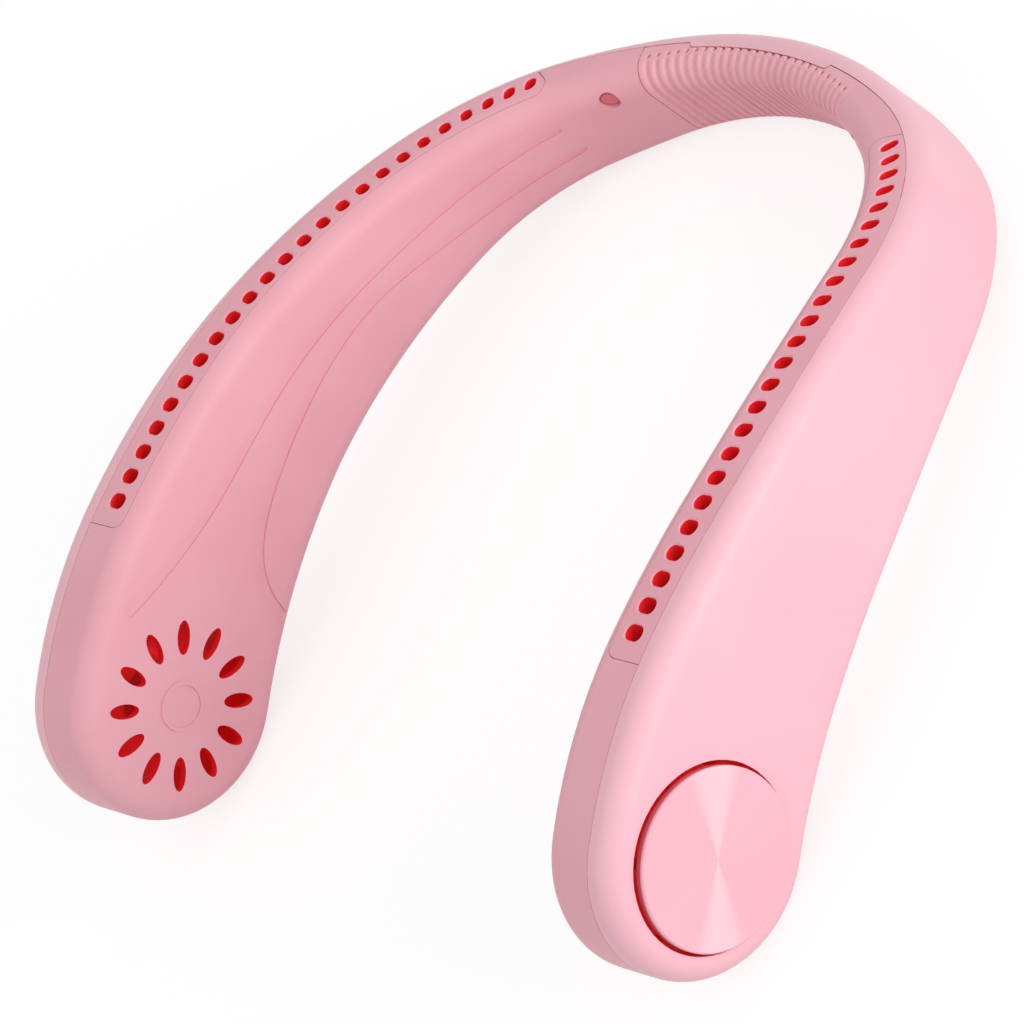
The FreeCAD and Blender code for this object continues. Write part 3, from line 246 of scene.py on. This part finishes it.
# Bonded ferrite, pressed and dipped in red epoxy: a dusty matt grain under the colour of the hollow, with
# a weak painted red glow.
pressed_ferrite_painted_glow = moulded_plastic("epoxy_dipped_bonded_ferrite_painted_glow", "#D8282E", "#C92229", 2.0, 0.4, 0.03,
                                  (0.6, 0.72), {"IOR": 1.6, "Emission Color": linear("#D8282E"),
                                                "Emission Strength": 0.12})
# Silicon steel laminations under a sprayed red insulating coat: matt, with a sandy grain and a weak
# painted red glow.
coated_iron_painted_glow = moulded_plastic("powder_coated_silicon_steel_red_painted_glow", "#D8282E", "#C92229", 1.5, 0.4, 0.03,
                              (0.55, 0.66), {"IOR": 1.5, "Emission Color": linear("#D8282E"),
                                             "Emission Strength": 0.12})
# Oil-filled bronze, sintered: warm, dull and slightly porous.
sintered_bronze = metal("sintered_bronze", "#B98A4E", "#A0743C", 0.5, [1.0, 1.0, 1.0], (0.4, 0.52))


def middle_of(node):
    low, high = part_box(node)
    return (Vector(low) + Vector(high)) / 2


# Each disc carries the painted highlight wedges in its colour.
painted_glint_disc_left, painted_glint_disc_right = [spun_disc_painted_glint(f"turned_tool_abs_disc_painted_glint_{side}", "#F8B6C4", "#FBCBD5",
                                   middle_of(f"inlet_disc_{side}")) for side in SIDES]

FINISHES = {
    "outer_shell": outer_abs, "inner_shell_left": inner_abs, "inner_shell_right": inner_abs,
    "outlet_strip_left": strip_abs, "outlet_strip_right": strip_abs,
    "inlet_disc_left": painted_glint_disc_left, "inlet_disc_right": painted_glint_disc_right,
    "pad_carrier": red_abs, "power_button": button_abs,
    "impeller_left": blade_abs_painted_glow, "impeller_right": blade_abs_painted_glow,
    "air_duct_left": red_abs, "air_duct_right": red_abs,
    "magnet_ring_left": pressed_ferrite_painted_glow, "magnet_ring_right": pressed_ferrite_painted_glow,
    "fan_shaft_left": plated_steel, "fan_shaft_right": plated_steel,
    "bearing_bush_left": sintered_bronze, "bearing_bush_right": sintered_bronze,
    "stator_left": coated_iron_painted_glow, "stator_right": coated_iron_painted_glow,
    "battery_left": pouch_film, "battery_right": pouch_film,
    "control_board": board_laminate, "charge_board": board_laminate,
    "tact_switch": black_nylon, "usb_port": plated_steel,
    "wire_harness": wire_pvc, "shell_screws": lacquered_steel_painted_shade,
}
MOULDED_WALLS = ("outer_shell", "inner_shell_left", "inner_shell_right",
                 "outlet_strip_left", "outlet_strip_right")
FILLED_OPENINGS = ("inlet_disc_left", "inlet_disc_right", "power_button", "usb_port")
NODE_BODY = {node: body for body, nodes in frame["record"]["behaviour"]["bodies"].items()
             for node in nodes}


def merged_mesh(node, name):
    """The CAD node's mesh with its loose triangles joined up."""
    mesh = frame["nodes"][node].data.copy()
    mesh.name = name
    work = bmesh.new()
    work.from_mesh(mesh)
    bmesh.ops.remove_doubles(work, verts=work.verts, dist=MERGE_REACH)
    work.to_mesh(mesh)
    work.free()
    if "custom_normal" in mesh.attributes:
        mesh.attributes.remove(mesh.attributes["custom_normal"])
    return mesh


def new_piece(name, mesh):
    piece = bpy.data.objects.new(name, mesh)
    bpy.context.scene.collection.objects.link(piece)
    return piece


def evaluated_mesh(piece):
    graph = bpy.context.evaluated_depsgraph_get()
    graph.update()
    return bpy.data.meshes.new_from_object(piece.evaluated_get(graph))


# Moulded faces blend round their fillets and stay crisp at drafted corners.
CRISP_ANGLE = math.radians(32)
pieces = {}
for node, finish in FINISHES.items():
    mesh = merged_mesh(node, node + "_finished")
    mesh.shade_smooth()
    mesh.set_sharp_from_angle(angle=CRISP_ANGLE)
    mesh.materials.clear()
    mesh.materials.append(finish)
    mesh.polygons.foreach_set("material_index", [0] * len(mesh.polygons))
    pieces[node] = new_piece(node + "_finished", mesh)

# The walls are red from just under the rims of the openings: the photograph shows red through each.
# Faces that meet across a seam, shallow channel walls and the screw wells stay pink. A face is open
# skin where nothing stands straight ahead of it and OPEN_LOOKS or more of LOOKS directions are free.
REACH_INSIDE = 45 * MM
SEAM_REACH = 1.4 * MM
RIM_DEPTH = 0.55 * MM
WELL_REACH = 4.5 * MM
LOOKS = 18
OPEN_LOOKS = 9
STEP_OFF = 0.03 * MM
GOLDEN_TURN = math.pi * (3 - math.sqrt(5))


def all_round():
    """Directions spread evenly over the half of space round +Z."""
    directions = []
    for index in range(LOOKS):
        rise = 1 - (index + 0.5) / LOOKS
        spread = math.sqrt(1 - rise * rise)
        turn = index * GOLDEN_TURN
        directions.append(Vector((spread * math.cos(turn), spread * math.sin(turn), rise)))
    return directions


def tree_of(meshes):
    """A search tree over the chosen faces of some meshes."""
    corners = []
    faces = []
    for mesh, chosen in meshes:
        start = len(corners)
        corners.extend(vertex.co.copy() for vertex in mesh.vertices)
        faces.extend([start + corner for corner in mesh.polygons[index].vertices] for index in chosen)
    return BVHTree.FromPolygons(corners, faces)


def colour_hollow(nodes):
    """Makes the faces that look into the hollow red; skin, seams, rims and screw wells stay pink."""
    neighbours = [pieces[node].data for node in nodes + FILLED_OPENINGS]
    neighbours.append(merged_mesh("neck_pad", "pad_for_looks"))
    walls = tree_of([(mesh, range(len(mesh.polygons))) for mesh in neighbours])
    directions = all_round()
    outside = []
    hidden = {}
    for node in nodes:
        mesh = pieces[node].data
        hidden[node] = []
        open_faces = []
        for polygon in mesh.polygons:
            eye = polygon.center + polygon.normal * STEP_OFF
            turn = polygon.normal.to_track_quat("Z", "Y")
            free = sum(walls.ray_cast(eye, turn @ direction, REACH_INSIDE)[0] is None
                       for direction in directions)
            ahead = walls.ray_cast(eye, polygon.normal, REACH_INSIDE)[3]
            if ahead is None and free >= OPEN_LOOKS:
                open_faces.append(polygon.index)
            elif ahead is None or ahead > SEAM_REACH:
                hidden[node].append(polygon.index)
        outside.append((mesh, open_faces))
    skin = tree_of(outside)
    screw_mesh = pieces["shell_screws"].data
    screws = tree_of([(screw_mesh, range(len(screw_mesh.polygons)))])
    for node in nodes:
        mesh = pieces[node].data
        mesh.materials.append(red_abs)
        for index in hidden[node]:
            middle = mesh.polygons[index].center
            in_well = node.startswith("inner") and screws.find_nearest(middle, WELL_REACH)[0] is not None
            if skin.find_nearest(middle)[3] > RIM_DEPTH and not in_well:
                mesh.polygons[index].material_index = 1
    bpy.data.meshes.remove(neighbours[-1])


colour_hollow(MOULDED_WALLS)

# A disc's side, the faces nearly square to its front, is painted deep rose shade below a pale rim.
SIDE_TILT = 0.3
PALE_RIM = 0.95 * MM
for side in SIDES:
    node = f"inlet_disc_{side}"
    mesh = pieces[node].data
    mesh.materials.append(disc_edge_painted_red_shade)
    front = max((corner[0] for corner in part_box(node)), key=abs)
    rim = front - math.copysign(PALE_RIM, front)
    work = bmesh.new()
    work.from_mesh(mesh)
    bmesh.ops.bisect_plane(work, geom=work.verts[:] + work.edges[:] + work.faces[:],
                           plane_co=(rim, 0, 0), plane_no=(1, 0, 0))
    for face in work.faces:
        if abs(face.normal.x) < SIDE_TILT and abs(face.calc_center_median().x) < abs(rim):
            face.material_index = 1
    work.to_mesh(mesh)
    work.free()

# The pad: the solid's own form, with every edge rolled as in moulded rubber.
PAD_VOXEL = 0.26 * MM
ROLL_SHARE = 0.5
ROLL_PASSES = 4
pad = new_piece("neck_pad_moulded", merged_mesh("neck_pad", "neck_pad_moulded"))
remesh = pad.modifiers.new("closed_skin", "REMESH")
remesh.mode = "VOXEL"
remesh.voxel_size = PAD_VOXEL
relax = pad.modifiers.new("rolled_edges", "SMOOTH")
relax.factor = ROLL_SHARE
relax.iterations = ROLL_PASSES
skin = evaluated_mesh(pad)
pad.modifiers.clear()
pad.data = skin
skin.name = "neck_pad_moulded"
skin.materials.clear()
skin.materials.append(silicone)
skin.polygons.foreach_set("material_index", [0] * len(skin.polygons))
skin.shade_smooth()
pieces["neck_pad"] = pad

# The pad's ribs: half-round crowns between the grooves, bent round the pad's upper and lower edges.
# They stand a little proud above and fade to flush below, and the outer ones rise with the pad.
NAPE_RADIUS = 91.643 * MM
NAPE_MIDDLE_Y = 0.657 * MM
RIB_GROOVES = 26
RIB_HALF_WIDTH = 31.5 * MM
RIB_RADIUS = 0.68 * MM
RIB_SUNK = 0.6 * MM
RIB_SHOULDER = 18.13 * MM
RIB_END_RISE = 0.52
RIB_FADE = 0.9 * MM
EDGE_RADIUS = 5.6 * MM
BEND_STEPS = 10
CROWN_SIDES = 12
rib_half_spread = math.asin(RIB_HALF_WIDTH / NAPE_RADIUS)
rib_step = 2 * rib_half_spread / (RIB_GROOVES - 1)
upper_bend = EDGE_RADIUS - RIB_SUNK
lower_bend = EDGE_RADIUS - RIB_RADIUS
bend_middle = NAPE_RADIUS + EDGE_RADIUS
RIB_INPUTS = (
    ("Ribs", "NodeSocketInt", RIB_GROOVES - 1),
    ("Crown radius", "NodeSocketFloat", RIB_RADIUS),
    ("First angle", "NodeSocketFloat", rib_step / 2 - rib_half_spread),
    ("Angle step", "NodeSocketFloat", rib_step),
    ("End rise", "NodeSocketFloat", RIB_END_RISE),
    ("Middle", "NodeSocketVector", (0.0, NAPE_MIDDLE_Y, 0.0)),
    ("Material", "NodeSocketMaterial", silicone),
)

rib_tree = bpy.data.node_groups.new("pad_rib_crowns", "GeometryNodeTree")
rib_tree.interface.new_socket("Geometry", in_out="INPUT", socket_type="NodeSocketGeometry")
rib_sockets = [rib_tree.interface.new_socket(label, in_out="INPUT", socket_type=kind).identifier
               for label, kind, value in RIB_INPUTS]
rib_tree.interface.new_socket("Geometry", in_out="OUTPUT", socket_type="NodeSocketGeometry")
given = add_node(rib_tree, "NodeGroupInput").outputs
line = add_node(rib_tree, "GeometryNodeMeshToCurve", inputs={"Mesh": given["Geometry"]})
crown = add_node(rib_tree, "GeometryNodeCurvePrimitiveCircle", inputs={
    "Resolution": CROWN_SIDES, "Radius": given["Crown radius"]})
bar = add_node(rib_tree, "GeometryNodeCurveToMesh", inputs={
    "Curve": line.outputs["Curve"], "Profile Curve": crown.outputs["Curve"], "Fill Caps": True})
seats = add_node(rib_tree, "GeometryNodeMeshLine", inputs={
    "Count": given["Ribs"], "Start Location": given["Middle"], "Offset": [0.0, 0.0, 0.0]})
index = add_node(rib_tree, "GeometryNodeInputIndex")
turn = add_node(rib_tree, "ShaderNodeMath", {"operation": "MULTIPLY_ADD"}, {
    0: index.outputs["Index"], 1: given["Angle step"], 2: given["First angle"]})
about_z = add_node(rib_tree, "ShaderNodeCombineXYZ", inputs={"Z": turn.outputs["Value"]})
turn_squared = add_node(rib_tree, "ShaderNodeMath", {"operation": "MULTIPLY"}, {
    0: turn.outputs["Value"], 1: turn.outputs["Value"]})
taller = add_node(rib_tree, "ShaderNodeMath", {"operation": "MULTIPLY_ADD"}, {
    0: turn_squared.outputs["Value"], 1: given["End rise"], 2: 1.0})
stretch = add_node(rib_tree, "ShaderNodeCombineXYZ", inputs={
    "X": 1.0, "Y": 1.0, "Z": taller.outputs["Value"]})
set_round = add_node(rib_tree, "GeometryNodeInstanceOnPoints", inputs={
    "Points": seats.outputs["Mesh"], "Instance": bar.outputs["Mesh"],
    "Rotation": about_z.outputs["Vector"], "Scale": stretch.outputs["Vector"]})
real = add_node(rib_tree, "GeometryNodeRealizeInstances", inputs={
    "Geometry": set_round.outputs["Instances"]})
smooth = add_node(rib_tree, "GeometryNodeSetShadeSmooth", inputs={"Geometry": real.outputs["Geometry"]})
dressed = add_node(rib_tree, "GeometryNodeSetMaterial", inputs={
    "Geometry": smooth.outputs["Geometry"], "Material": given["Material"]})
add_node(rib_tree, "NodeGroupOutput", inputs={"Geometry": dressed.outputs["Geometry"]})

rib_line = bpy.data.meshes.new("rib_line")
quarter = [step / BEND_STEPS * math.pi / 2 for step in range(BEND_STEPS + 1)]
rib_points = [(0, bend_middle + RIB_FADE, RIB_SHOULDER + upper_bend - RIB_FADE / 2)]
rib_points += [(0, bend_middle - upper_bend * math.sin(bend), RIB_SHOULDER + upper_bend * math.cos(bend))
               for bend in quarter]
rib_points += [(0, bend_middle - lower_bend * math.cos(bend), EDGE_RADIUS - lower_bend * math.sin(bend))
               for bend in quarter]
rib_line.from_pydata(rib_points, [(place, place + 1) for place in range(len(rib_points) - 1)], [])
ribs = new_piece("neck_pad_ribs", rib_line)
crowns = ribs.modifiers.new("rib_crowns", "NODES")
crowns.node_group = rib_tree
for identifier, (label, kind, value) in zip(rib_sockets, RIB_INPUTS):
    crowns[identifier] = value
rib_mesh = evaluated_mesh(ribs)
ribs.modifiers.clear()
ribs.data = rib_mesh
rib_mesh.name = "neck_pad_ribs"

for node, piece in pieces.items():
    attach(piece, NODE_BODY[node])
    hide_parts(node)
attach(ribs, NODE_BODY["neck_pad"])

# The camera, from the holes, the disc and the ring as the photograph places them.
LENS = 281.25
SENSOR = 36.0
FARTHEST_SIGHT = 20.0
CAMERA_PLACE = Vector((1342.1, -304.51, 1073.29)) * MM
CAMERA_RIGHT = Vector((0.60998, 0.42691, -0.66759))
CAMERA_DOWN = Vector((0.14716, -0.88884, -0.43394))
CAMERA_AHEAD = Vector((-0.77863, 0.16645, -0.605))
camera_data = bpy.data.cameras.new("photograph")
camera_data.lens = LENS
camera_data.sensor_width = SENSOR
camera_data.clip_end = FARTHEST_SIGHT
camera = bpy.data.objects.new("photograph", camera_data)
bpy.context.scene.collection.objects.link(camera)
turned = Matrix((CAMERA_RIGHT, -CAMERA_DOWN, -CAMERA_AHEAD)).transposed()
camera.matrix_world = Matrix.Translation(CAMERA_PLACE) @ turned.to_4x4()
bpy.context.scene.camera = camera


def looked_at(tree):
    """One where the camera, a reflection or a clear piece looks straight at the backdrop, else zero."""
    path = add_node(tree, "ShaderNodeLightPath").outputs
    seen = add_node(tree, "ShaderNodeMath", {"operation": "MAXIMUM"}, {
        0: path["Is Camera Ray"], 1: path["Is Glossy Ray"]})
    shown = add_node(tree, "ShaderNodeMath", {"operation": "MAXIMUM"}, {
        0: seen.outputs["Value"], 1: path["Is Transmission Ray"]})
    return shown.outputs["Value"]


# A pale floor that reads as white paper: most of its light is its own where the camera looks.
FLOOR_HALF = 4.0
FLOOR_DROP = 0.1 * MM
WHITE = linear("#FFFFFF")
floor_mesh = bpy.data.meshes.new("floor")
floor_mesh.from_pydata([(x * FLOOR_HALF, y * FLOOR_HALF, -FLOOR_DROP)
                        for x, y in ((-1, -1), (1, -1), (1, 1), (-1, 1))], [], [(0, 1, 2, 3)])
floor = new_piece("floor", floor_mesh)
paper, tree, output = new_material("white_paper_sweep")
own = add_node(tree, "ShaderNodeEmission", inputs={"Color": WHITE, "Strength": 0.72})
lit = add_node(tree, "ShaderNodeBsdfDiffuse", inputs={"Color": linear("#AAAAAA")})
both = add_node(tree, "ShaderNodeAddShader")
tree.links.new(own.outputs["Emission"], both.inputs[0])
tree.links.new(lit.outputs["BSDF"], both.inputs[1])
bounce = add_node(tree, "ShaderNodeBsdfDiffuse", inputs={"Color": linear("#E8E8E8")})
choice = add_node(tree, "ShaderNodeMixShader", inputs={"Fac": looked_at(tree)})
tree.links.new(bounce.outputs["BSDF"], choice.inputs[1])
tree.links.new(both.outputs["Shader"], choice.inputs[2])
# From below the floor is clear, so that the underside and its button can be looked at.
below = add_node(tree, "ShaderNodeNewGeometry").outputs["Backfacing"]
clear = add_node(tree, "ShaderNodeBsdfTransparent")
one_sided = add_node(tree, "ShaderNodeMixShader", inputs={"Fac": below})
tree.links.new(choice.outputs["Shader"], one_sided.inputs[1])
tree.links.new(clear.outputs["BSDF"], one_sided.inputs[2])
tree.links.new(one_sided.outputs["Shader"], output.inputs["Surface"])
floor_mesh.materials.append(paper)

# The room: even white light all round, and a white backdrop where it is looked at.
world = bpy.data.worlds.new("soft_studio")
bpy.context.scene.world = world
world.use_nodes = True
tree = world.node_tree
tree.nodes.clear()
room = add_node(tree, "ShaderNodeBackground", inputs={"Color": WHITE, "Strength": 0.6})
backdrop = add_node(tree, "ShaderNodeBackground", inputs={"Color": WHITE, "Strength": 1.0})
choice = add_node(tree, "ShaderNodeMixShader", inputs={"Fac": looked_at(tree)})
tree.links.new(room.outputs["Background"], choice.inputs[1])
tree.links.new(backdrop.outputs["Background"], choice.inputs[2])
add_node(tree, "ShaderNodeOutputWorld", inputs={"Surface": choice.outputs["Shader"]})

# The lamps look at the middle of the neck opening.
TARGET = Vector((0.0, 0.0, 30 * MM))


def soft_box(name, toward, distance, side, level):
    """A square studio lamp; level is the share of full light that it gives a face turned to it."""
    lamp = bpy.data.lights.new(name, "AREA")
    lamp.shape = "SQUARE"
    lamp.size = side
    lamp.energy = level * (math.pi * distance) ** 2
    holder = bpy.data.objects.new(name, lamp)
    bpy.context.scene.collection.objects.link(holder)
    away = Vector(toward).normalized()
    holder.matrix_world = (Matrix.Translation(TARGET + away * distance)
                           @ away.to_track_quat("Z", "Y").to_matrix().to_4x4())


soft_box("key", toward=(1.0, 0.28, 0.17), distance=1.4, side=0.9, level=0.66)
soft_box("fill", toward=(-0.5, -0.9, 0.8), distance=1.5, side=1.0, level=0.08)

bpy.context.scene.view_settings.view_transform = "Standard"
